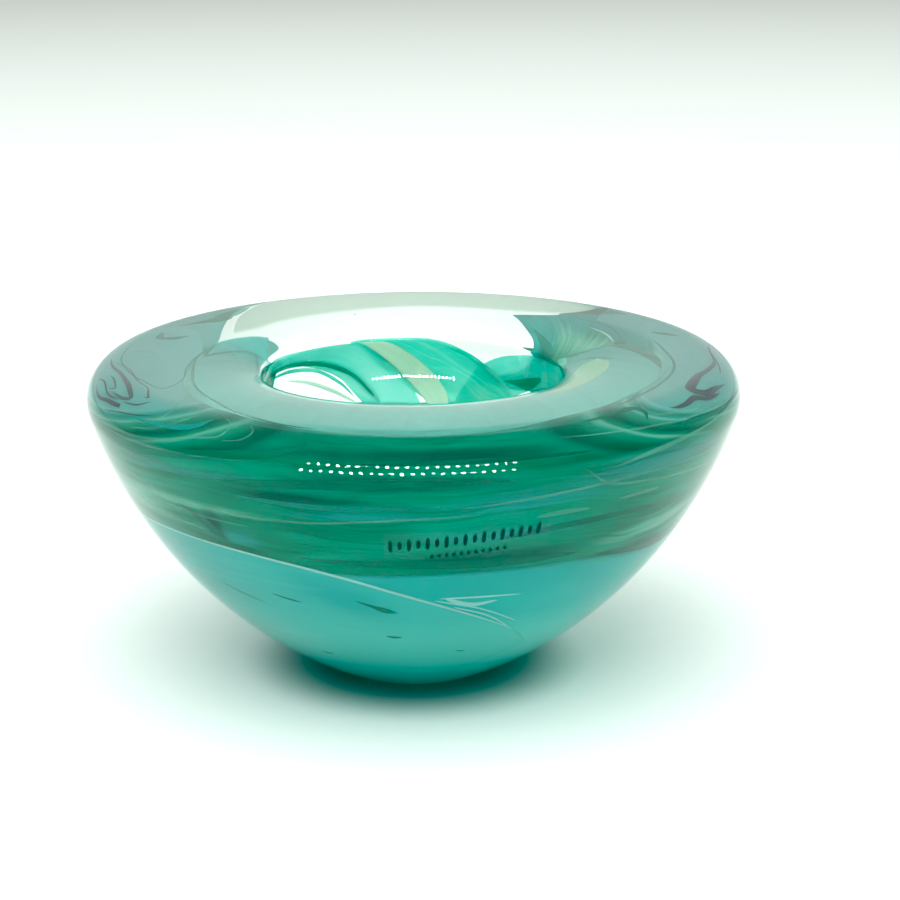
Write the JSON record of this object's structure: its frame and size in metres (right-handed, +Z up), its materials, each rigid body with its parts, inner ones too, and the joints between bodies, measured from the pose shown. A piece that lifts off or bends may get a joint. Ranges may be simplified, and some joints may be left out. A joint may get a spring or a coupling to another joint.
{
  "type": "art glass bowl",
  "caption": "Heavy round art glass bowl, wide shoulder, narrow polished foot and a round well, with swirled aqua and green colour cased in clear crystal.",
  "frame": {"origin": "centre of the flat polished foot, on the surface that the bowl stands on", "axes": "+Z up along the bowl's axis, -Y towards the front with the label, +X to the right seen from the front"},
  "size_m": [0.14, 0.14, 0.07],
  "materials": {
    "clear_glass": "polished",
    "aqua_opal_glass": "polished",
    "emerald_glass": "polished",
    "teal_glass": "polished",
    "lime_glass": "polished",
    "label_film": "satin"
  },
  "bodies": {
    "root": {"clear_core": "clear_glass", "clear_casing": "clear_glass", "clear_window": "clear_glass", "opal_cup": "aqua_opal_glass", "opal_sweep": "aqua_opal_glass", "emerald_band": "emerald_glass", "teal_ribbon": "teal_glass", "well_ribbon_left": "teal_glass", "well_ribbon_right": "teal_glass", "well_ribbon_end": "emerald_glass", "lime_streak": "lime_glass", "well_lime_thread": "lime_glass", "makers_label": "label_film"}
  },
  "joints": []
}
